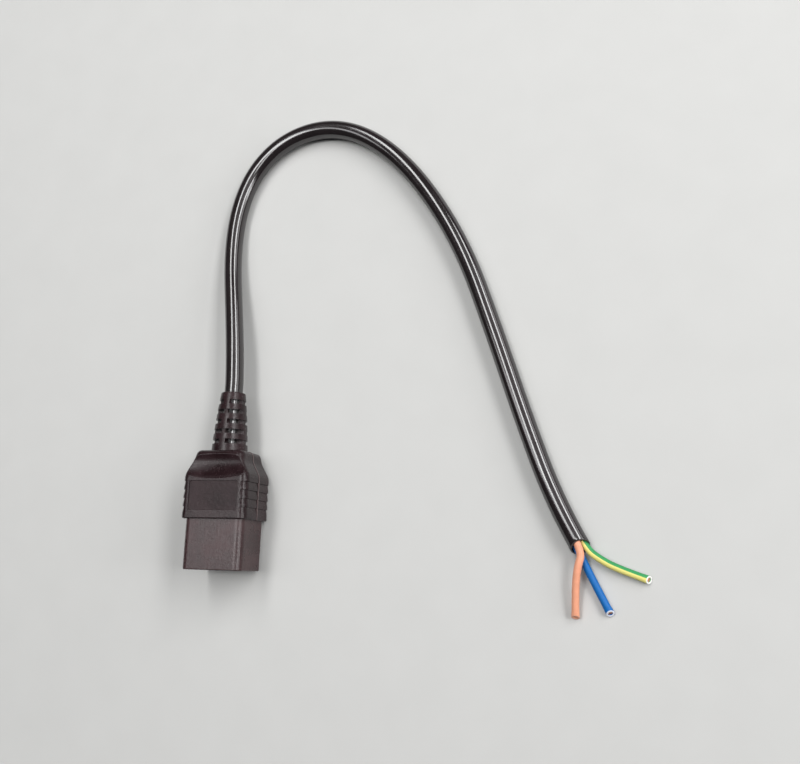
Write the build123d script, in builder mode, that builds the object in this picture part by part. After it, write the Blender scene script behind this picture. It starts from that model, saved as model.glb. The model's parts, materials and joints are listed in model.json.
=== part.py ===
from build123d import *
from math import cos, radians, sin, tan
import os

os.makedirs("parts", exist_ok=True)

# A power lead with a moulded 16 A coupler connector. The connector lies on its wide face with
# its nose towards -Y. The round three-core lead leaves it towards +Y, arches over to +X and ends
# where it was cut, with the three cores bare of the sheath. Millimetres, +Z up.

# Nose insert: the rigid block that goes into the inlet and carries the contacts
nose_width = 28.0
nose_height = 21.0
nose_corner = 3.2
nose_length = 21.5
nose_edge = 0.4
insert_grip = 9.0
front_wall = 2.0

# Contact rows: two live slots side by side, and the earth slot above and between them
pole_spacing = 13.0
row_spacing = 8.0
slot_width = 8.8
slot_height = 2.8
slot_lead_in = 0.5

# Contacts: folded strip with two leaves that pinch a flat blade, and two crimps behind them
strip = 0.4
contact_width = 8.4
leaf_length = 16.0
leaf_mouth = 3.2
leaf_pinch = 1.8
leaf_waist = 3.2
pinch_from_front = 3.6
waist_from_front = 8.0
contact_inset = 0.3
neck_width = 2.4
neck_length = 2.2
wire_crimp_length = 4.0
wire_crimp_wall = 0.5
crimp_gap = 1.0
grip_crimp_length = 2.4
crimp_seam = 0.5
core_in_grip = 0.2

# Moulded body over the insert
body_width = 31.0
body_height = 24.0
body_corner = 3.2
body_front_edge = 0.4
body_straight = 18.0
shoulder_length = 11.8
shoulder_inset = 3.9
shoulder_drop = 2.7
shoulder_round = 2.4
side_run_on = 0.9
flare_length = 6.1
flare_inset = 3.4
flare_round = 6.0

# Finger scoop across the shoulder, the same on both wide faces, shallower towards its ends
scoop_depth = 2.95
scoop_radius = 9.0
scoop_end_radius = 7.4
scoop_before_shoulder = 0.8
scoop_lip = 0.5

# Shallow panel in the top face
panel_width = 23.5
panel_length = 12.6
panel_from_step = 3.6
panel_corner = 1.3
panel_depth = 0.3

# Grip steps down both narrow sides
grip_count = 4
grip_pitch = 3.63
grip_first = 5.1
grip_depth = 0.4
grip_ramp = 2.9
grip_inset = 2.7
grip_end_round = 0.7
grip_feather = 0.05

# Mould seam along the narrow sides
seam_height = 0.35
seam_proud = 0.15

# Strain relief: a slotted cone round the lead, one moulding with the body
relief_length = 26.7
relief_base = 15.9
relief_middle = 14.0
relief_end = 10.8
end_collar = 3.5
end_round = 0.5
slot_rows = 5
slot_pitch = 4.5
slot_gap = 2.0
bridge = 2.7
side_bridge = 3.0
rib = 1.6
rib_sink = 0.5

# Rear block, moulded round the cores behind the insert
block_width = 24.0
block_height = 17.0
block_length = 12.0
block_corner = 2.5
block_draft = 5.0

# Lead: a round sheath over three cores, each a copper conductor in its insulation
sheath_diameter = 8.2
core_diameter = 3.0
conductor_diameter = 1.6
core_circle = 1.85
core_seat = 5.5
sheath_in_body = 2.3

# Where the cores inside the connector start and stop fanning out to the contacts
fan_from_sheath = 4.0
fan_from_insert = 5.0

# Clearances
mould_fit = 0.05
core_fit = 0.03
chamber_fit = 0.3

# How far a cutting tool runs past what it cuts
cut_past = 1.0

# Widths, radii and heights that follow from the sizes
shoulder_width = body_width - 2 * shoulder_inset
shoulder_height = body_height - 2 * shoulder_drop
sheath_radius = sheath_diameter / 2
core_radius = core_diameter / 2
conductor_radius = conductor_diameter / 2
core_bore = conductor_radius + core_fit
tunnel_radius = core_radius + mould_fit
sheath_bore = sheath_radius + mould_fit
axis_z = body_height / 2
live_row_z = axis_z - row_spacing / 2
earth_row_z = axis_z + row_spacing / 2

# Places along Y, with the middle of the connector at zero
connector_length = nose_length + body_straight + shoulder_length + relief_length
front_y = -connector_length / 2
step_y = front_y + nose_length
shoulder_y = step_y + body_straight
flare_y = shoulder_y + side_run_on
flare_end_y = flare_y + flare_length
back_y = shoulder_y + shoulder_length
relief_end_y = back_y + relief_length
insert_back_y = step_y + insert_grip
sheath_start_y = back_y - sheath_in_body
leaf_front_y = front_y + front_wall + contact_inset
leaf_back_y = leaf_front_y + leaf_length
wire_crimp_y = leaf_back_y + neck_length
grip_crimp_y = wire_crimp_y + wire_crimp_length + crimp_gap

# Each contact's place in the nose, its core's colour, and that core's angle round the lead's
# axis at both ends: the cores are laid up with a twist, so the angles differ
poles = {
    "line": {"x": -pole_spacing / 2, "z": live_row_z, "core": "brown", "inner": 210, "cut": 95},
    "neutral": {"x": pole_spacing / 2, "z": live_row_z, "core": "blue", "inner": 330, "cut": 215},
    "earth": {"x": 0.0, "z": earth_row_z, "core": "green_yellow", "inner": 90, "cut": 335},
}

# Route of the lead's centreline: straight out of the strain relief, down to the surface, over in
# an arch and back. The first two points keep to the connector's axis.
surface = sheath_radius
first_straight = 24.0
lead_route = [
    (0, sheath_start_y, axis_z),
    (0, relief_end_y + first_straight, axis_z),
    (-11, 116, surface),
    (-5.5, 145, surface),
    (10.5, 163, surface),
    (33.5, 170, surface),
    (56.5, 164, surface),
    (80, 142, surface),
    (103, 105, surface),
    (118.5, 61.5, surface),
    (131, 24, surface),
    (143, -8.5, surface),
    (152.5, -25.5, surface),
]

# Route of each bare core beyond the cut: distance along the lead's last direction, sideways to
# the left of it, and height. The first two points are worked out below.
tail_straight = 2.2
tail_routes = {
    "brown": [(6.2, -4.6, 6.4), (13.2, -9.9, 4.2), (22.4, -15.3, 2.1)],
    "blue": [(9.5, -2.2, 1.9), (27.2, -2.8, 1.5)],
    "green_yellow": [(7.4, 4.1, 3.1), (13.4, 7.9, 2.5), (22.9, 16.5, 1.6)],
}


def bend_radii(points):
    """The arc at each corner: 0.45 of the shorter run, over the tangent of half the turn."""
    radii = []
    for before, corner, after in zip(points, points[1:], points[2:]):
        arriving = Vector(*corner) - Vector(*before)
        leaving = Vector(*after) - Vector(*corner)
        shorter = min(arriving.length, leaving.length)
        radii.append(0.45 * shorter / tan(radians(arriving.get_angle(leaving)) / 2))
    return radii


def swept_rod(points, radii, radius, hollow=0.0):
    """A round rod, or a tube, along straight runs joined by tangent arcs."""
    with BuildPart() as rod:
        with BuildLine() as path:
            FilletPolyline(*points, radius=radii)
        with BuildSketch(Plane(origin=path.line @ 0, z_dir=path.line % 0)):
            Circle(radius)
            if hollow > 0:
                Circle(hollow, mode=Mode.SUBTRACT)
        sweep(path=path.line)
    return rod.part


def across(y):
    """The plane across the connector at y, looking along -Y, with its origin on the axis."""
    return Plane(origin=(0, y, axis_z), x_dir=(1, 0, 0), z_dir=(0, -1, 0))


def save(part, name):
    part.label = name
    export_step(part, f"parts/{name}.step")


# Routes of the cores inside the connector: straight out of the sheath's end, fanned out inside
# the rear block, then straight into the crimps
fan_start_y = sheath_start_y - fan_from_sheath
fan_end_y = insert_back_y + fan_from_insert
core_end_y = grip_crimp_y + core_in_grip
conductor_end_y = wire_crimp_y - crimp_gap / 2
inner_routes = {}
for pole, place in poles.items():
    out_x = core_circle * cos(radians(place["inner"]))
    out_z = axis_z + core_circle * sin(radians(place["inner"]))
    inner_routes[pole] = [
        (out_x, sheath_start_y + core_seat, out_z),
        (out_x, fan_start_y, out_z),
        (place["x"], fan_end_y, place["z"]),
        (place["x"], core_end_y, place["z"]),
    ]
tunnels = [swept_rod(route, bend_radii(route), tunnel_radius) for route in inner_routes.values()]

# Tool for the finger scoop: a spindle laid across the shoulder, thinner past the body's sides
scoop_reach = (scoop_radius**2 - (scoop_radius - scoop_depth) ** 2) ** 0.5
scoop_y = shoulder_y - scoop_before_shoulder + scoop_reach
scoop_z = body_height + scoop_radius - scoop_depth
scoop_end_x = body_width / 2 + cut_past
with BuildPart() as scoop_tool:
    with BuildSketch(Plane(origin=(0, scoop_y, scoop_z), x_dir=(1, 0, 0), z_dir=(0, -1, 0))):
        with BuildLine():
            belly = ThreePointArc(
                (-scoop_end_x, scoop_end_radius), (0, scoop_radius), (scoop_end_x, scoop_end_radius)
            )
            Polyline(belly @ 1, (scoop_end_x, 0), (-scoop_end_x, 0), belly @ 0)
        make_face()
    revolve(axis=Axis((0, scoop_y, scoop_z), (1, 0, 0)))

# Tool for the grip steps: at each step the side drops, then ramps back out towards the nose
grip_inner_x = body_width / 2 - grip_inset
with BuildPart() as grip_tool:
    with BuildSketch(Plane.XY.offset(-cut_past)):
        for step in range(grip_count):
            wall_y = step_y + grip_first + step * grip_pitch
            with Locations((grip_inner_x, wall_y)):
                Rectangle(grip_inset + cut_past, grip_ramp, align=(Align.MIN, Align.MAX))
        fillet(vertices().group_by(Axis.X)[0], grip_end_round)
    extrude(amount=body_height + 2 * cut_past)
    for step in range(grip_count):
        wall_y = step_y + grip_first + step * grip_pitch
        with BuildSketch(across(wall_y - grip_ramp)):
            RectangleRounded(
                body_width + 2 * grip_feather, body_height + 2 * grip_feather, body_corner + grip_feather
            )
        with BuildSketch(across(wall_y)):
            RectangleRounded(
                body_width - 2 * grip_depth, body_height - 2 * grip_depth, body_corner - grip_depth
            )
        loft(mode=Mode.SUBTRACT)

# Tool for the strain relief's slots. Rows take turns: a bridge above and below with sunk ribs at
# the sides, then bridges at the sides with sunk ribs above and below.
with BuildPart() as slot_tool:
    for row in range(slot_rows):
        slot_y = relief_end_y - end_collar - slot_gap / 2 - row * slot_pitch
        along = (slot_y - back_y) / relief_length
        row_radius = relief_base / 2 + (relief_end - relief_base) / 2 * along
        rib_reach = 2 * (row_radius - rib_sink)
        with BuildSketch(across(slot_y + slot_gap / 2)):
            Circle(relief_base)
            Circle(sheath_bore, mode=Mode.SUBTRACT)
            if row % 2 == 0:
                Rectangle(bridge, 2 * relief_base, mode=Mode.SUBTRACT)
                Rectangle(rib_reach, side_bridge, mode=Mode.SUBTRACT)
            else:
                Rectangle(2 * relief_base, side_bridge, mode=Mode.SUBTRACT)
                Rectangle(rib, rib_reach, mode=Mode.SUBTRACT)
        extrude(amount=slot_gap)

# Outline of the body seen from above: straight sides that flare in to a narrower back
flared = body_width / 2 - flare_inset
with BuildSketch(Plane.XY) as plan:
    with BuildLine():
        right = Polyline(
            (body_width / 2, step_y),
            (body_width / 2, flare_y),
            (flared, flare_end_y),
            (shoulder_width / 2, back_y),
        )
        left = Polyline(
            (-shoulder_width / 2, back_y),
            (-flared, flare_end_y),
            (-body_width / 2, flare_y),
            (-body_width / 2, step_y),
        )
        Line(right @ 1, left @ 0)
        Line(left @ 1, right @ 0)
    make_face()
    flare_ends = vertices().group_by(Axis.Y)[1:3]
    fillet(flare_ends[0] + flare_ends[1], flare_round)

# Moulded body and strain relief, one piece
with BuildPart() as overmould:
    add(plan.sketch)
    extrude(amount=body_height)
    # Seen from the side, the wide faces curve in from the shoulder to the back
    with BuildSketch(Plane.YZ):
        with BuildLine():
            top = Line((step_y, body_height), (shoulder_y, body_height))
            top_arc = TangentArc(top @ 1, (back_y, axis_z + shoulder_height / 2), tangent=(1, 0))
            end = Line(top_arc @ 1, (back_y, axis_z - shoulder_height / 2))
            low_arc = TangentArc((shoulder_y, 0), end @ 1, tangent=(1, 0))
            Polyline(low_arc @ 0, (step_y, 0), top @ 0)
        make_face()
    extrude(amount=body_width, both=True, mode=Mode.INTERSECT)
    long_corners = overmould.edges().filter_by(
        lambda edge: abs(edge.center().X) > body_width / 4
        and abs(edge.center().Z - axis_z) > body_height / 4
    )
    fillet(long_corners, body_corner)
    fillet(overmould.edges().group_by(Axis.Y)[-1], shoulder_round)
    chamfer(overmould.edges().group_by(Axis.Y)[0], body_front_edge)

    for tool in (scoop_tool.part, scoop_tool.part.mirror(Plane.XY.offset(axis_z))):
        add(tool, mode=Mode.SUBTRACT)
        fillet(overmould.edges(Select.NEW), scoop_lip)

    with BuildSketch(Plane.XY.offset(body_height)):
        with Locations((0, step_y + panel_from_step + panel_length / 2)):
            RectangleRounded(panel_width, panel_length, panel_corner)
    extrude(amount=-panel_depth, mode=Mode.SUBTRACT)

    add(grip_tool.part, mode=Mode.SUBTRACT)
    mirror(grip_tool.part, about=Plane.YZ, mode=Mode.SUBTRACT)

    # Thin seam left where the two halves of the mould met
    with BuildSketch(Plane.XY.offset(axis_z - seam_height / 2)):
        add(plan.sketch)
        fillet(vertices().group_by(Axis.Y)[-1], shoulder_round)
        offset(amount=seam_proud)
        with Locations((0, step_y)):
            Rectangle(2 * body_width, body_width, align=(Align.CENTER, Align.MAX), mode=Mode.SUBTRACT)
    extrude(amount=seam_height)

    # Strain relief, turned about the lead's axis
    relief_root_y = back_y - shoulder_round
    with BuildSketch(Plane.XY.offset(axis_z)):
        with BuildLine():
            flank = ThreePointArc(
                (relief_base / 2, back_y),
                (relief_middle / 2, (back_y + relief_end_y) / 2),
                (relief_end / 2, relief_end_y),
            )
            Polyline(
                flank @ 1,
                (0, relief_end_y),
                (0, relief_root_y),
                (relief_base / 2, relief_root_y),
                flank @ 0,
            )
        make_face()
        fillet(vertices().group_by(Axis.Y)[-1].sort_by(Axis.X)[-1], end_round)
    revolve(axis=Axis((0, 0, axis_z), (0, 1, 0)))
    add(slot_tool.part, mode=Mode.SUBTRACT)

    # Room inside for the insert, the rear block, the cores and the lead
    with BuildSketch(across(insert_back_y)):
        RectangleRounded(nose_width + 2 * mould_fit, nose_height + 2 * mould_fit, nose_corner + mould_fit)
    extrude(amount=insert_grip, mode=Mode.SUBTRACT)
    with BuildSketch(across(insert_back_y)):
        RectangleRounded(
            block_width + 2 * mould_fit, block_height + 2 * mould_fit, block_corner + mould_fit
        )
    extrude(amount=-block_length, taper=block_draft, mode=Mode.SUBTRACT)
    for tunnel in tunnels:
        add(tunnel, mode=Mode.SUBTRACT)
    with BuildSketch(across(relief_end_y)):
        Circle(sheath_bore)
    extrude(amount=relief_end_y - sheath_start_y, mode=Mode.SUBTRACT)

save(overmould.part, "overmould")

# Nose insert with a chamber for each contact, open behind, and a slot for the blade in front
chamber_width = contact_width + 2 * chamber_fit
chamber_height = leaf_waist + 2 * strip + 2 * chamber_fit
with BuildPart() as nose_insert:
    with BuildSketch(across(front_y)):
        RectangleRounded(nose_width, nose_height, nose_corner)
    extrude(amount=-(nose_length + insert_grip))
    fillet(nose_insert.edges().group_by(Axis.Y)[0], nose_edge)
    spots = [(place["x"], place["z"] - axis_z) for place in poles.values()]
    with BuildSketch(across(insert_back_y)):
        with Locations(*spots):
            Rectangle(chamber_width, chamber_height)
    extrude(amount=insert_back_y - front_y - front_wall, mode=Mode.SUBTRACT)
    with BuildSketch(across(front_y + front_wall)):
        with Locations(*spots):
            Rectangle(slot_width, slot_height)
    extrude(amount=front_wall, mode=Mode.SUBTRACT)
    mouths = nose_insert.faces().sort_by(Axis.Y)[0].inner_wires().edges()
    chamfer(mouths, slot_lead_in)

save(nose_insert.part, "nose_insert")

# Rear block, tapered to leave its mould, with a tunnel for each core
with BuildPart() as rear_block:
    with BuildSketch(across(insert_back_y)):
        RectangleRounded(block_width, block_height, block_corner)
    extrude(amount=-block_length, taper=block_draft)
    for tunnel in tunnels:
        add(tunnel, mode=Mode.SUBTRACT)

save(rear_block.part, "rear_block")

# Contacts, one for each pole: leaves, back web, neck, and two open barrels in line with the core
wire_crimp_bore = conductor_radius + core_fit
wire_crimp_radius = wire_crimp_bore + wire_crimp_wall
grip_crimp_bore = core_radius + core_fit
grip_crimp_radius = grip_crimp_bore + strip
for pole, place in poles.items():
    side_plane = Plane(origin=(place["x"], 0, place["z"]), x_dir=(0, 1, 0), z_dir=(1, 0, 0))
    with BuildPart() as contact:
        mouth_z = leaf_mouth / 2 + strip / 2
        pinch_z = leaf_pinch / 2 + strip / 2
        waist_z = leaf_waist / 2 + strip / 2
        pinch_y = leaf_front_y + pinch_from_front
        waist_y = leaf_front_y + waist_from_front
        with BuildSketch(side_plane):
            with BuildLine():
                Polyline(
                    (leaf_front_y, -mouth_z),
                    (pinch_y, -pinch_z),
                    (waist_y, -waist_z),
                    (leaf_back_y, -waist_z),
                    (leaf_back_y, waist_z),
                    (waist_y, waist_z),
                    (pinch_y, pinch_z),
                    (leaf_front_y, mouth_z),
                )
                offset(amount=strip / 2, side=Side.BOTH)
            make_face()
        extrude(amount=contact_width / 2, both=True)
        # Floor strip that carries both barrels
        wire_floor_z = -(wire_crimp_radius - strip / 2)
        grip_floor_z = -(grip_crimp_radius - strip / 2)
        with BuildSketch(side_plane):
            with BuildLine():
                Polyline(
                    (leaf_back_y, wire_floor_z),
                    (wire_crimp_y + wire_crimp_length, wire_floor_z),
                    (grip_crimp_y, grip_floor_z),
                    (grip_crimp_y + grip_crimp_length, grip_floor_z),
                )
                offset(amount=strip / 2, side=Side.BOTH)
            make_face()
        extrude(amount=neck_width / 2, both=True)
        for start_y, length, outer, inner in (
            (wire_crimp_y, wire_crimp_length, wire_crimp_radius, wire_crimp_bore),
            (grip_crimp_y, grip_crimp_length, grip_crimp_radius, grip_crimp_bore),
        ):
            barrel = Plane(origin=(place["x"], start_y, place["z"]), x_dir=(1, 0, 0), z_dir=(0, -1, 0))
            with BuildSketch(barrel):
                Circle(outer)
            extrude(amount=-length)
            with BuildSketch(barrel):
                Circle(inner)
                Rectangle(crimp_seam, 2 * outer, align=(Align.CENTER, Align.MIN))
            extrude(amount=-length, mode=Mode.SUBTRACT)
    save(contact.part, f"{pole}_contact")

# Lead sheath, plain along its length, with a seat for each core in both ends
lead_radii = bend_radii(lead_route)
print("lead bend radii", [round(radius, 1) for radius in lead_radii])
last_run = Vector(*lead_route[-1]) - Vector(*lead_route[-2])
cut_direction = last_run.normalized()
cut_side = Vector(0, 0, 1).cross(cut_direction)
cut_plane = Plane(origin=lead_route[-1], x_dir=cut_side, z_dir=cut_direction)
core_hole = core_radius + core_fit
with BuildPart() as sheath:
    add(swept_rod(lead_route, lead_radii, sheath_radius))
    for place in poles.values():
        with BuildSketch(across(sheath_start_y)):
            with PolarLocations(core_circle, 1, place["inner"]):
                Circle(core_hole)
        extrude(amount=-core_seat, mode=Mode.SUBTRACT)
        with BuildSketch(cut_plane):
            with PolarLocations(core_circle, 1, place["cut"]):
                Circle(core_hole)
        extrude(amount=-core_seat, mode=Mode.SUBTRACT)

save(sheath.part, "sheath")

# Cores, each in two stretches that show or connect: inside the connector, and bare at the cut
for pole, place in poles.items():
    colour = place["core"]
    inner_route = inner_routes[pole]
    inner_radii = bend_radii(inner_route)
    wire_route = inner_route[:-1] + [(place["x"], conductor_end_y, place["z"])]
    save(swept_rod(inner_route, inner_radii, core_radius, core_bore), f"{colour}_core_inner")
    save(swept_rod(wire_route, inner_radii, conductor_radius), f"{colour}_conductor_inner")

    out_side = core_circle * cos(radians(place["cut"]))
    out_z = surface + core_circle * sin(radians(place["cut"]))
    local_route = [(-core_seat, out_side, out_z), (tail_straight, out_side, out_z)] + tail_routes[colour]
    tail_route = [
        tuple(cut_plane.from_local_coords(Vector(sideways, height - surface, along)))
        for along, sideways, height in local_route
    ]
    tail_radii = bend_radii(tail_route)
    print(colour, "tail bend radii", [round(radius, 1) for radius in tail_radii])
    save(swept_rod(tail_route, tail_radii, core_radius, core_bore), f"{colour}_core_tail")
    save(swept_rod(tail_route, tail_radii, conductor_radius), f"{colour}_conductor_tail")
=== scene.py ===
# %% [markdown]
# A mains lead with a moulded connector: a hard nose in a soft black body, a slotted strain
# relief, a glossy round lead, and three coloured cores where the lead was cut. The solids come
# packed from the CAD model, in metres, and everything in this lesson is built around them.

import json

import bpy
import numpy as np
from math import radians
from mathutils import Matrix

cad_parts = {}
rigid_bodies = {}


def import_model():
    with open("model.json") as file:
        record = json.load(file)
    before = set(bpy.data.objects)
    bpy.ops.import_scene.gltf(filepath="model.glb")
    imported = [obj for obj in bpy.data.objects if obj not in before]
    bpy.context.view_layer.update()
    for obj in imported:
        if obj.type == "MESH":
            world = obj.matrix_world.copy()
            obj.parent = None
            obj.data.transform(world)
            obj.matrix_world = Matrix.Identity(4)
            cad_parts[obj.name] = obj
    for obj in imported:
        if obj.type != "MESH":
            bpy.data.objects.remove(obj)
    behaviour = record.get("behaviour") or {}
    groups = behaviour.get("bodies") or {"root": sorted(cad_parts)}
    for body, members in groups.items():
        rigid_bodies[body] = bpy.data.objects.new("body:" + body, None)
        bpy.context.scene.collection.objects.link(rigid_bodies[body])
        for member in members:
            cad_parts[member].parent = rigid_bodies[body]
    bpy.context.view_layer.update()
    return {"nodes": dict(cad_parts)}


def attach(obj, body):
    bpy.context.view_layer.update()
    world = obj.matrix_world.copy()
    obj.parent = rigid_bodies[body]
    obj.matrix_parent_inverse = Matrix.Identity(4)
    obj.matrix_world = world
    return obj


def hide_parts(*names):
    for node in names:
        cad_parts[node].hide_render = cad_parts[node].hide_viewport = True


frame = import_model()
nodes = frame["nodes"]

# %% [markdown]
# The photograph was taken from above, a little to the right of the connector. Its camera was
# worked out from the corners of the nose, whose size is standard, and from the width of the
# lead. A lens is given here as its focal length in pixels, turned into millimetres of sensor.

# %% Camera
frame_width = 800
focal_pixels = 860.0
camera_data = bpy.data.cameras.new("camera")
camera_data.sensor_fit = "HORIZONTAL"
camera_data.sensor_width = 36.0
camera_data.lens = camera_data.sensor_width * focal_pixels / frame_width
camera = bpy.data.objects.new("camera", camera_data)
camera.matrix_world = (
    Matrix.Translation((0.1884, -0.0355, 0.3523))
    @ Matrix.Rotation(radians(-2.08), 4, "Z")
    @ Matrix.Rotation(radians(12.11), 4, "X")
    @ Matrix.Rotation(radians(17.89), 4, "Y")
)
bpy.context.scene.collection.objects.link(camera)
bpy.context.scene.camera = camera
print("lens:", round(camera_data.lens, 2), "mm")

# %% [markdown]
# A lead bends in one smooth line, so its route is a NURBS spline and not a chain of arcs. Blender
# works the spline out, and the tubes and strands below are carried along the points read from it.

# %% A spline and its points
def spline_line(name, points):
    """Reads the points of a NURBS spline of order 3, whose ends lie on its first and last
    control point."""
    data = bpy.data.curves.new(name, "CURVE")
    data.dimensions = "3D"
    data.resolution_u = 24
    spline = data.splines.new("NURBS")
    spline.points.add(len(points) - 1)
    spline.points.foreach_set("co", np.c_[points, np.ones(len(points))].ravel())
    spline.order_u = 3
    spline.use_endpoint_u = True
    holder = bpy.data.objects.new(name, data)
    bpy.context.scene.collection.objects.link(holder)
    bpy.context.view_layer.update()
    line = bpy.data.meshes.new_from_object(holder)
    places = np.empty(3 * len(line.vertices))
    line.vertices.foreach_get("co", places)
    bpy.data.objects.remove(holder)
    bpy.data.curves.remove(data)
    bpy.data.meshes.remove(line)
    return places.reshape(-1, 3)


def distances(line):
    """Distance of each point from the line's start, along the line."""
    return np.r_[0.0, np.cumsum(np.linalg.norm(np.diff(line, axis=0), axis=1))]


# %% [markdown]
# The lead leaves the connector level, comes down behind the strain relief, and lies on the floor
# in one wide bend. Its control points are those of the CAD route, moved where the photograph
# asks for it. The bare cores are easier to read off from the cut that they come out of, so their
# points are counted from there, and all the numbers are millimetres.

# %% Routes of the lead and of its three bare cores
lead_points = np.array([
    (0, 10, 12),
    (0, 38, 12),
    (0, 46, 12),
    (-1.7, 66, 11.6),
    (-11.2, 114.5, 4.1),
    (-5.5, 145, 4.1),
    (10.5, 164, 4.1),
    (33.5, 170.5, 4.1),
    (56.5, 163.5, 4.1),
    (80, 142, 4.1),
    (103, 105, 4.1),
    (118.5, 61.5, 4.1),
    (131, 24, 4.1),
    (143, -8.5, 4.1),
    (152.5, -25.5, 4.1),
]) / 1000
lead_line = spline_line("lead_route", lead_points)

cut = lead_points[-1]
onward = cut - lead_points[-2]
onward /= np.linalg.norm(onward)
leftward = np.cross((0, 0, 1), onward)


def from_cut(along, left, height):
    """A point past the lead's cut end: so many millimetres along its last direction, to the left
    of it, and up from the floor. The point itself is in metres."""
    place = cut + (along * onward + left * leftward) / 1000
    return [place[0], place[1], height / 1000]


core_points = {
    "brown": [
        (-5.5, -0.16, 5.94),
        (2.2, -0.16, 5.94),
        (6.2, -4.6, 6.4),
        (13.2, -9.9, 4.2),
        (22.4, -15.3, 2.1),
    ],
    "blue": [
        (-5.5, -1.52, 3.04),
        (2.2, -1.52, 3.04),
        (9.5, -2.2, 1.9),
        (27.2, -2.8, 1.5),
    ],
    "green_yellow": [
        (-5.5, 1.68, 3.32),
        (2.2, 1.68, 3.32),
        (7.4, 4.1, 3.1),
        (13.4, 7.9, 2.5),
        (22.9, 16.5, 1.6),
    ],
}
core_lines = {
    colour: spline_line(colour, [from_cut(*point) for point in points])
    for colour, points in core_points.items()
}
print("lead:", round(distances(lead_line)[-1], 4), "m")
print({colour: round(distances(line)[-1], 4) for colour, line in core_lines.items()})

# %% [markdown]
# A tube is a ring carried along a line. At each point of the line, one direction points to the
# side and stays level, and another points up from the line. The ring's points are the centre
# plus the radius times a turn from side to up. Several tubes can share one mesh, which suits
# the strands of a conductor. At both ends the last ring closes on one point in its middle.

# %% Tubes as arrays
def directions(line):
    """Tangent, side and up at each point. Side is level and square to the tangent, and up is
    side cross tangent."""
    tangent = np.gradient(line, axis=0)
    tangent /= np.linalg.norm(tangent, axis=1, keepdims=True)
    side = np.cross(tangent, (0, 0, 1))
    side /= np.linalg.norm(side, axis=1, keepdims=True)
    return tangent, side, np.cross(side, tangent)


def mesh_object(name, points, faces, around):
    """One mesh object. faces is a list of arrays of corner numbers, and around gives each point
    the cosine and sine of its turn round the tube, and its distance along it."""
    mesh = bpy.data.meshes.new(name)
    corners = np.concatenate([face.ravel() for face in faces]).astype(np.int32)
    sizes = np.concatenate([np.full(len(face), face.shape[1]) for face in faces])
    mesh.vertices.add(len(points))
    mesh.vertices.foreach_set("co", points.ravel())
    mesh.loops.add(len(corners))
    mesh.loops.foreach_set("vertex_index", corners)
    mesh.polygons.add(len(sizes))
    mesh.polygons.foreach_set("loop_start", np.r_[0, np.cumsum(sizes)[:-1]].astype(np.int32))
    mesh.update(calc_edges=True)
    mesh.attributes.new("lay", "FLOAT_VECTOR", "POINT").data.foreach_set("vector", around.ravel())
    made = bpy.data.objects.new(name, mesh)
    bpy.context.scene.collection.objects.link(made)
    return made


def tubes(name, centres, side, up, radii, along, steps):
    """k closed tubes of n rings. centres, side and up are k x n x 3, and radii and along are
    k x n. A point is centre + radius x (side x cos turn + up x sin turn)."""
    count, rings = radii.shape
    turn = np.arange(steps) * 2 * np.pi / steps
    spoke = side[:, :, None] * np.cos(turn)[:, None] + up[:, :, None] * np.sin(turn)[:, None]
    skin = (centres[:, :, None] + radii[:, :, None, None] * spoke).reshape(-1, 3)
    poles = centres[:, [0, -1]].reshape(-1, 3)

    number = np.arange(count * rings * steps).reshape(count, rings, steps)
    ahead = np.roll(number, -1, axis=2)
    quads = np.stack([number[:, :-1], number[:, 1:], ahead[:, 1:], ahead[:, :-1]], axis=-1)
    pole = len(skin) + np.arange(2 * count).reshape(count, 2, 1) + np.zeros(steps, int)
    first = np.stack([pole[:, 0], number[:, 0], ahead[:, 0]], axis=-1)
    last = np.stack([pole[:, 1], ahead[:, -1], number[:, -1]], axis=-1)

    lay = np.zeros((count, rings, steps, 3))
    lay[..., 0], lay[..., 1], lay[..., 2] = np.cos(turn), np.sin(turn), along[:, :, None]
    pole_lay = np.zeros((2 * count, 3))
    pole_lay[:, 2] = along[:, [0, -1]].ravel()
    faces = [quads.reshape(-1, 4), first.reshape(-1, 3), last.reshape(-1, 3)]
    return mesh_object(name, np.r_[skin, poles], faces, np.r_[lay.reshape(-1, 3), pole_lay])


# %% [markdown]
# The sheath is one plain tube. It was cut on a slant, further back on top, which left a ring of
# matt black plastic with a shallow hollow that the cores come out of. The profile of the cut is
# a short list of radii and of steps forward or back from the end of the line.

# %% Sheath
sheath_radius = 4.1
sheath_slant = 0.6
sheath_lean = 9.0


def eased(value, low, high):
    """0 below low, 1 above high, and t x t x (3 - 2 t) between them."""
    t = np.clip((value - low) / (high - low), 0, 1)
    return t * t * (3 - 2 * t)


def with_cut_end(line, radius, profile, slant, lean, squeeze=0.0):
    """Centres, directions and radii of a tube along the line, whose end follows a profile of
    (radius, step forward) pairs in millimetres. Over the last lean millimetres the rings tip
    back, up' = up - slant x tangent, and are squeezed wider and flatter by that share."""
    tangent, side, up = directions(line)
    profile = np.array(profile) / 1000
    last = np.full(len(profile), len(line) - 1)
    ends = line[last] + profile[:, 1:] * tangent[last]
    centres = np.r_[line[:-1], ends]
    pick = np.r_[np.arange(len(line) - 1), last]
    radii = np.r_[np.full(len(line) - 1, radius / 1000), profile[:, 0]]
    along = np.r_[distances(line)[:-1], distances(line)[-1] + profile[:, 1]]
    near = eased((along - distances(line)[-1]) * 1000, -lean, 0.0)[:, None]
    side = side[pick] * (1 + squeeze * near)
    up = up[pick] * (1 - squeeze * near) - slant * near * tangent[pick]
    return centres[None], side[None], up[None], radii[None], along[None]


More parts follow.
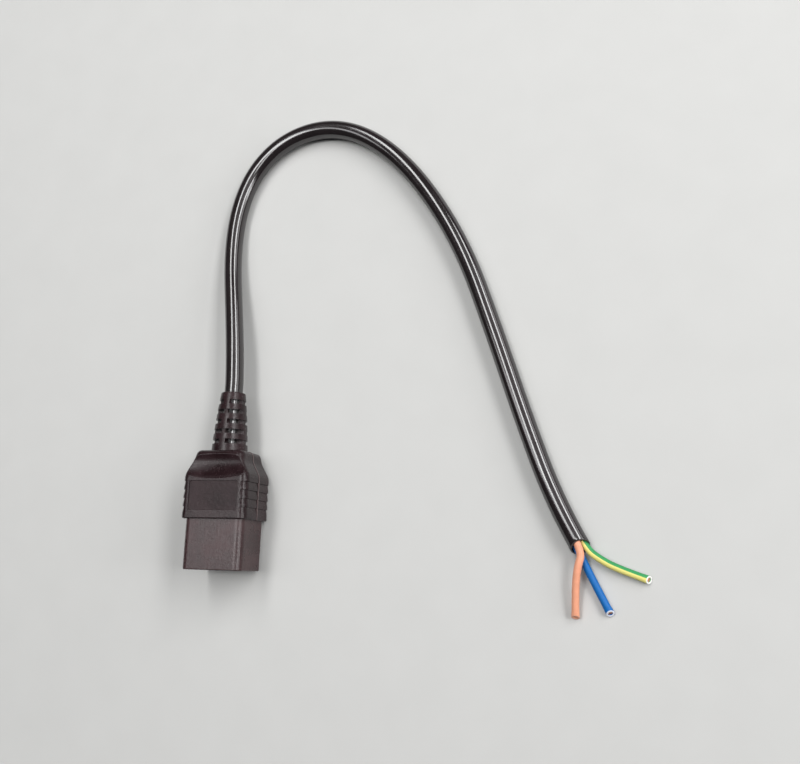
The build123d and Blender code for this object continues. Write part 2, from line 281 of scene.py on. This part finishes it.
sheath_cut = [
    (sheath_radius, -0.25), (4.05, -0.06), (3.93, 0), (3.5, 0.02), (3.42, -0.1), (3.38, -1.2),
]
sheath_shape = with_cut_end(lead_line, sheath_radius, sheath_cut, sheath_slant, sheath_lean)
sheath = tubes("lead_sheath", *sheath_shape, steps=64)
print("sheath:", len(sheath.data.polygons), "faces")

# %% [markdown]
# Each core is a tube too. Side cutters leave its end on a slant that faces up, squeeze the last
# millimetres a little wider and flatter, and leave the copper just inside the cut.

# %% Cores
core_radius = 1.5
bore_radius = 0.86
core_cut = [
    (core_radius, -0.2), (1.47, -0.06), (1.4, 0), (0.98, 0.03), (bore_radius, -0.06), (0.84, -1.6),
]
core_slants = {"brown": 0.70, "blue": 0.80, "green_yellow": 0.75}
core_lean = 4.0
core_squeeze = 0.08
cores = {}
for colour, line in core_lines.items():
    shape = with_cut_end(
        line, core_radius, core_cut, core_slants[colour], core_lean, core_squeeze
    )
    cores[colour] = tubes(f"{colour}_core", *shape, steps=40)
print("cores:", [len(core.data.polygons) for core in cores.values()])

# %% [markdown]
# A flexible conductor of this size holds thirty fine strands, laid with a twist. Each strand's
# place is a radius and an angle in the bundle, and the angle grows along the core. They are so
# thin that every second point of the core's line is enough, counted from the cut end so that
# the last point stays.

# %% Copper strands
strand_radius = 0.125
bundle_rings = [(0.17, 4), (0.42, 10), (0.67, 16)]
strand_sides = 7
lay_length = 22.0
end_spread = 0.2


def strands(name, line, short, slant):
    """Thirty strands in one mesh. A strand's centre is the core's line + reach x (side x cos
    angle + up x sin angle), where angle = start + 2 pi x distance / lay length. On average the
    strands stop short of the slanted cut by the millimetres given, and a sine of start and reach
    scatters their ends by the end spread."""
    tangent, side, up = directions(line)
    way = distances(line)
    reach = np.concatenate([np.full(n, r) for r, n in bundle_rings]) / 1000
    start = np.concatenate([np.arange(n) * 2 * np.pi / n + r for r, n in bundle_rings])
    uneven = end_spread * np.sin(start * 7.3 + reach * 9000) / 1000
    last_angle = start + 2 * np.pi * way[-1] * 1000 / lay_length
    ends = way[-1] - short / 1000 + uneven - slant * reach * np.sin(last_angle)
    reached = (way / way[-1])[None] * ends[:, None]
    angle = start[:, None] + 2 * np.pi * reached * 1000 / lay_length
    middle = np.stack([np.interp(reached, way, line[:, k]) for k in range(3)], axis=-1)
    spoke = side[None] * np.cos(angle)[..., None] + up[None] * np.sin(angle)[..., None]
    centres = middle + reach[:, None, None] * spoke
    shape = (len(reach), len(line), 3)
    radii = np.full(shape[:2], strand_radius / 1000)
    sides, ups = np.broadcast_to(side, shape), np.broadcast_to(up, shape)
    return tubes(name, centres, sides, ups, radii, reached, strand_sides)


recess = {"brown": 0.5, "blue": 0.1, "green_yellow": 0.05}
conductors = {}
for colour, line in core_lines.items():
    every_second = line[::-2][::-1]
    conductors[colour] = strands(
        f"{colour}_strands", every_second, recess[colour], core_slants[colour]
    )
print("strands:", [len(piece.data.polygons) for piece in conductors.values()])

# %% [markdown]
# Surface patterns are sums and products of values, so they read best as Python. A small class
# wraps one socket of a material: adding or multiplying two of them makes the Math node that
# does it. Every other node comes from one method, which sets the node up and links its inputs.

# %% Shader expressions
class Value:
    """One output socket in a node tree, which can be used in sums and products."""

    def __init__(self, tree, socket):
        self.tree, self.socket = tree, socket

    @classmethod
    def node(cls, tree, kind, settings, inputs, output=0):
        """Adds a node: its settings first, then its inputs by name or number, each a Value, a
        number or a tuple."""
        made = tree.nodes.new(kind)
        for name, value in settings.items():
            setattr(made, name, value)
        for key, value in inputs.items():
            if isinstance(value, Value):
                tree.links.new(value.socket, made.inputs[key])
            else:
                made.inputs[key].default_value = value
        return cls(tree, made.outputs[output])

    def math(self, operation, first, second=0.0):
        inputs = {0: first, 1: second}
        return Value.node(self.tree, "ShaderNodeMath", {"operation": operation}, inputs)

    def __add__(self, other):
        return self.math("ADD", self, other)

    def __sub__(self, other):
        return self.math("SUBTRACT", self, other)

    def __rsub__(self, other):
        return self.math("SUBTRACT", other, self)

    def __mul__(self, other):
        return self.math("MULTIPLY", self, other)

    __radd__ = __add__
    __rmul__ = __mul__

    def absolute(self):
        return self.math("ABSOLUTE", self)

    def step(self, low, high):
        """0 below low, 1 above high, and smooth between them. Turned round if low is higher."""
        settings = {"interpolation_type": "SMOOTHSTEP"}
        inputs = {"Value": self, "From Min": low, "From Max": high}
        return Value.node(self.tree, "ShaderNodeMapRange", settings, inputs)

    def within(self, reach, soft):
        """1 up to reach on both sides of 0, and 0 from reach + soft on."""
        return self.absolute().step(reach + soft, reach)


class Finish:
    """A material under construction: its tree, its patterns, and its plain settings."""

    def __init__(self, name, **plain):
        self.material = bpy.data.materials.new(name)
        self.material.use_nodes = True
        self.tree = self.material.node_tree
        self.shader = self.tree.nodes["Principled BSDF"]
        for key, value in plain.items():
            self.shader.inputs[key.replace("_", " ")].default_value = value

    def place(self):
        """Where a point is on the object, in metres."""
        return Value.node(self.tree, "ShaderNodeTexCoord", {}, {}, "Object")

    def lay(self):
        """The tube's own coordinates: cosine and sine of the turn, and distance along."""
        settings = {"attribute_name": "lay"}
        return Value.node(self.tree, "ShaderNodeAttribute", settings, {}, "Vector")

    def split(self, vector):
        """The three numbers of a vector."""
        made = Value.node(self.tree, "ShaderNodeSeparateXYZ", {}, {0: vector})
        return [Value(self.tree, socket) for socket in made.socket.node.outputs]

    def noise(self, where, size, detail=2.0, roughness=0.5):
        """Cloudy pattern from 0 to 1, whose spots are about size metres across."""
        inputs = {"Vector": where, "Scale": 1 / size, "Detail": detail, "Roughness": roughness}
        return Value.node(self.tree, "ShaderNodeTexNoise", {}, inputs)

    def stretched(self, where, x, y, z):
        """The same place with each of its numbers multiplied."""
        settings = {"operation": "MULTIPLY"}
        return Value.node(self.tree, "ShaderNodeVectorMath", settings, {0: where, 1: (x, y, z)})

    def blend(self, mask, low, high):
        """low where the mask is 0, and high where it is 1. The node has its factor in socket 0,
        its two colours in 6 and 7, and the mixed colour in output 2."""
        low, high = [c if isinstance(c, Value) else (*c, 1.0) for c in (low, high)]
        inputs = {0: mask, 6: low, 7: high}
        return Value.node(self.tree, "ShaderNodeMix", {"data_type": "RGBA"}, inputs, 2)

    def bump(self, height, distance, strength=1.0):
        """Turns heights from 0 to 1 into a surface distance metres deep."""
        inputs = {"Height": height, "Distance": distance, "Strength": strength}
        return Value.node(self.tree, "ShaderNodeBump", {}, inputs)

    def feed(self, **links):
        """Links patterns to the shader's sockets."""
        for key, value in links.items():
            self.tree.links.new(value.socket, self.shader.inputs[key.replace("_", " ")])
        return self.material


# %% [markdown]
# The body is a soft black moulding with a fine, even grain from its spark-eroded mould. The
# shallow panel on top is duller and more dimpled. The thin mould seam down each side is painted
# paler, a painted highlight for the light that its ridge catches. Handling leaves cloudy patches,
# and dust makes some spots a touch paler. The panel and the seam are masks: 1 inside their limits
# on the object, in metres, and 0 outside.

# %% Body moulding
panel_half_width, panel_half_length, panel_middle = 0.01160, 0.0062, -0.0076
panel_height, panel_edge = 0.0236, 0.00015
seam_height, seam_half_width, seam_edge, seam_end = 0.012, 0.00016, 0.00008, 0.0122

body = Finish("moulded_black", Specular_IOR_Level=0.28)
where = body.place()
x, y, z = body.split(where)
in_panel = (
    x.within(panel_half_width, panel_edge)
    * (y - panel_middle).within(panel_half_length, panel_edge)
    * z.step(panel_height - 0.0002, panel_height)
)
# Mask of the thin mould seam down each side, where a painted highlight goes.
seam_highlight = (
    (z - seam_height).within(seam_half_width, seam_edge)
    * y.step(seam_end + 0.0004, seam_end)
)
cloud = body.noise(where, 0.012, 3.0)
grain = body.noise(where, 0.00042, 2.0, 0.6)
dimples = body.noise(where, 0.0016, 2.0)
specks = body.noise(where, 0.0011, 4.0, 0.7).step(0.55, 0.72)
pale = cloud.step(0.35, 0.7) * 0.35 + specks * 0.45
tone_and_seam_highlight = body.blend(pale, (0.012, 0.005, 0.006), (0.048, 0.028, 0.031))
# The seam is painted paler: a painted highlight for the light that its ridge catches.
tone_and_seam_highlight = body.blend(seam_highlight * 0.6, tone_and_seam_highlight, (0.20, 0.15, 0.15))
body_material = body.feed(
    Base_Color=tone_and_seam_highlight,
    Roughness=0.20 + cloud * 0.08 + in_panel * 0.22 + specks * 0.08,
    Normal=body.bump(grain * 0.5 + dimples * (in_panel * 0.8 + 0.3), 0.00012),
)
print("body:", len(body.tree.nodes), "nodes")

# %% [markdown]
# The nose is a separate insert of harder plastic, with more gloss than the body. Being pushed into
# inlets has drawn fine lines along it, so one of its patterns is stretched eight times along Y,
# and flecks of wear make it paler in spots.

# %% Nose moulding
nose = Finish("insert_black", Specular_IOR_Level=0.42)
where = nose.place()
cloud = nose.noise(where, 0.009, 4.0, 0.6)
grain = nose.noise(where, 0.00085, 4.0, 0.65)
drag = nose.noise(nose.stretched(where, 1.0, 0.12, 1.0), 0.0012, 3.0)
patch = cloud.step(0.35, 0.65)
flecks = nose.noise(where, 0.0009, 3.0, 0.7).step(0.50, 0.75)
pale = patch * 0.35 + drag * 0.3 + flecks * 0.35
nose_material = nose.feed(
    Base_Color=nose.blend(pale, (0.020, 0.008, 0.009), (0.070, 0.035, 0.037)),
    Roughness=0.22 + patch * 0.06 + drag * 0.06,
    Normal=nose.bump(grain + drag * 0.5, 0.00008),
)
print("nose:", len(nose.tree.nodes), "nodes")

# %% [markdown]
# The sheath is glossy soft plastic. Under it, three twisted cores make the surface rise and
# fall by about a hundredth of a millimetre, so a long highlight wavers a little. Rubs along the
# lead dull the gloss in places, and the knife's cut is matt and paler than the skin.

# %% Sheath finish
skin = Finish("sheath_black", Specular_IOR_Level=1.0)
lay = skin.lay()
along = skin.split(lay)[2]
lead_length = distances(lead_line)[-1]
cut_rim, cut_blur = 0.00008, 0.00005
on_cut = along.step(lead_length - cut_rim, lead_length - cut_rim + cut_blur)
rubs = skin.noise(skin.place(), 0.008, 3.0, 0.55)
wave = skin.noise(skin.stretched(lay, 0.6, 0.6, 60.0), 1.0, 1.0)
skin_material = skin.feed(
    Base_Color=skin.blend(rubs * 0.1 + on_cut, (0.010, 0.007, 0.0075), (0.060, 0.050, 0.050)),
    Roughness=0.13 + rubs.step(0.35, 0.75) * 0.05 + on_cut * 0.45,
    Normal=skin.bump(wave, 0.00002, 0.3),
)
print("sheath:", len(skin.tree.nodes), "nodes")

# %% [markdown]
# The cores are satin plastic. The earth core's yellow is a stripe along one side, so it comes
# from the tube's own turn and not from its place. Cutting whitens the plastic round the copper.

# %% Core finishes
core_colours = {
    "brown": ((0.72, 0.32, 0.20), (0.80, 0.42, 0.30)),
    "blue": ((0.003, 0.115, 0.38), (0.72, 0.74, 0.80)),
    "green_yellow": ((0.035, 0.26, 0.085), (0.80, 0.80, 0.77)),
}
stripe_yellow = (0.72, 0.66, 0.20)
stripe_turn = radians(40)
stripe_edge, stripe_blur = 0.485, 0.06
whitening, whitening_blur = 0.00025, 0.00021


def core_finish(colour, line):
    """Satin insulation, mottled by about a tenth, with a pale cut face. A point is on the stripe
    where cos turn x cos stripe turn + sin turn x sin stripe turn is above the stripe's edge."""
    base, pale = core_colours[colour]
    finish = Finish(f"core_{colour}", Specular_IOR_Level=0.25)
    cosine, sine, along = finish.split(finish.lay())
    mottle = finish.noise(finish.place(), 0.0022, 3.0)
    tone = finish.blend(mottle, tuple(0.88 * c for c in base), tuple(1.10 * c for c in base))
    if colour == "green_yellow":
        facing = cosine * np.cos(stripe_turn) + sine * np.sin(stripe_turn)
        striped = (facing + mottle * 0.05).step(stripe_edge, stripe_edge + stripe_blur)
        tone = finish.blend(striped, tone, stripe_yellow)
    whitened_from = distances(line)[-1] - whitening
    whitened = along.step(whitened_from, whitened_from + whitening_blur)
    tone = finish.blend(whitened, tone, pale)
    ripple = finish.noise(finish.place(), 0.004, 1.0)
    return finish.feed(
        Base_Color=tone,
        Roughness=0.36 + mottle * 0.10 + whitened * 0.25,
        Normal=finish.bump(ripple, 0.00025, 0.35),
    )


core_materials = {colour: core_finish(colour, line) for colour, line in core_lines.items()}
print("cores:", sorted(core_materials))

# %% [markdown]
# Copper, brass and the plain block inside the body are simple finishes, but none is one flat
# colour: metal is never evenly bright, and drawn or stamped strip has fine lines along it.

# %% Metals and the hidden block
copper = Finish("copper", Metallic=1.0)
tarnish = copper.noise(copper.place(), 0.0008, 3.0)
copper_material = copper.feed(
    Base_Color=copper.blend(tarnish, (0.80, 0.36, 0.20), (0.93, 0.58, 0.40)),
    Roughness=0.38 + tarnish * 0.2,
)

brass = Finish("contact_brass", Metallic=1.0)
where = brass.place()
lines = brass.noise(brass.stretched(where, 1.0, 0.05, 1.0), 0.00025, 2.0)
tint = brass.noise(where, 0.004, 3.0)
brass_material = brass.feed(
    Base_Color=brass.blend(tint, (0.74, 0.53, 0.24), (0.86, 0.68, 0.38)),
    Roughness=0.22 + lines * 0.16,
    Normal=brass.bump(lines, 0.00001, 0.4),
)

block = Finish("block_natural", Specular_IOR_Level=0.4)
mottle = block.noise(block.place(), 0.003, 3.0)
block_material = block.feed(
    Base_Color=block.blend(mottle, (0.62, 0.60, 0.53), (0.76, 0.74, 0.68)),
    Roughness=0.45 + mottle * 0.15,
)
print("metals and block:", copper_material.name, brass_material.name, block_material.name)

# %% [markdown]
# Every new piece rides on the one rigid body, gets its finish, and stands in for the plain solid
# that it dresses. The other solids stay in view, so they only get their finish. A tube is smooth
# along its sides, and its end caps stay flat, as cut faces are.

# %% Give every piece its finish, its body and the solid it stands for
def finished(piece, material, slot, *stands_for):
    """Sets the finish, shades the four-sided faces smooth and leaves the end caps flat."""
    piece.data.materials.clear()
    piece.data.materials.append(material)
    sides = np.empty(len(piece.data.polygons), int)
    piece.data.polygons.foreach_get("loop_total", sides)
    piece.data.polygons.foreach_set("use_smooth", sides == 4)
    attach(piece, "root")
    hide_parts(*stands_for)


finished(sheath, skin_material, "sheath_black", "sheath")
for colour, core in cores.items():
    finished(core, core_materials[colour], f"core_{colour}", f"{colour}_core_tail")
    finished(conductors[colour], copper_material, "copper", f"{colour}_conductor_tail")

kept = {"overmould": body_material, "nose_insert": nose_material, "rear_block": block_material}
kept.update({name: brass_material for name in nodes if name.endswith("_contact")})
kept.update({name: copper_material for name in nodes if name.endswith("_conductor_inner")})
kept.update({f"{colour}_core_inner": core_materials[colour] for colour in core_lines})
for name, material in kept.items():
    for place in nodes[name].material_slots:
        place.material = material
print("solids kept in view:", sorted(kept))

# %% [markdown]
# The lead and its bare cores end where the real ones were cut. Their names are printed here.

print("cords:", sheath.name, *(core.name for core in cores.values()))

# %% [markdown]
# The part lies on a plain pale floor, one wide square just under it, which isn't part of the
# object.

# %% Floor
floor_half = 3.0
floor_height = -0.0001
floor_corners = [
    (x * floor_half, y * floor_half, floor_height) for x, y in ((-1, -1), (1, -1), (1, 1), (-1, 1))
]
floor_mesh = bpy.data.meshes.new("floor")
floor_mesh.from_pydata(floor_corners, [], [(0, 1, 2, 3)])
floor = bpy.data.objects.new("floor", floor_mesh)
bpy.context.scene.collection.objects.link(floor)
paper = Finish("floor_paper", Specular_IOR_Level=0.2)
fibre = paper.noise(paper.place(), 0.02, 4.0)
floor_mesh.materials.append(paper.feed(
    Base_Color=paper.blend(fibre, (0.48, 0.48, 0.47), (0.51, 0.51, 0.50)),
    Roughness=0.75 + fibre * 0.1,
))
print("floor:", 2 * floor_half, "m wide")

# %% [markdown]
# Black plastic shows what it mirrors more than its own colour, so the lamps are placed for their
# reflections. Two long, narrow ones run along Y and draw the two bright lines along the lead,
# with a softer one low on the right and one between them. Three small ones, over the connector,
# low on its right and on its left, give its corners and its flat top their sheen.

# %% Lamps and world
middle = (0.06, 0.07, 0.0)


def lamp(name, tilt, distance, ahead, size, power):
    """A rectangular lamp that hangs over the part at a distance in metres, swung by a tilt in
    degrees from straight up towards +X, and moved ahead along Y. Its size is across, then along
    Y, and its power is in watts."""
    data = bpy.data.lights.new(name, "AREA")
    data.shape = "RECTANGLE"
    data.size, data.size_y = size
    data.energy = power
    made = bpy.data.objects.new(name, data)
    swung = Matrix.Rotation(radians(tilt), 4, "Y")
    hung = Matrix.Translation((0, ahead, distance))
    made.matrix_world = Matrix.Translation(middle) @ swung @ hung
    bpy.context.scene.collection.objects.link(made)


lamp("near_strip", -12, 1.5, 0.78, (0.36, 1.6), 17.0)
lamp("far_strip", 44, 1.5, 0.72, (0.36, 1.9), 22.0)
lamp("low_right", 68, 1.5, 0.5, (0.5, 1.8), 6.0)
lamp("between", 16, 1.6, 0.7, (0.7, 1.1), 1.2)
lamp("corner", -1, 1.5, -0.09, (1.15, 0.26), 5.6)
lamp("low_corner", 66, 1.5, -0.09, (0.6, 0.26), 2.6)
lamp("left_panel", -34, 1.5, -0.02, (0.6, 0.34), 2.4)

world = bpy.data.worlds.new("studio")
world.use_nodes = True
background = world.node_tree.nodes["Background"]
background.inputs["Color"].default_value = (0.93, 0.95, 1.0, 1.0)
background.inputs["Strength"].default_value = 0.05
bpy.context.scene.world = world
bpy.context.scene.view_settings.view_transform = "Standard"
print("lamps:", [light.name for light in bpy.data.lights])
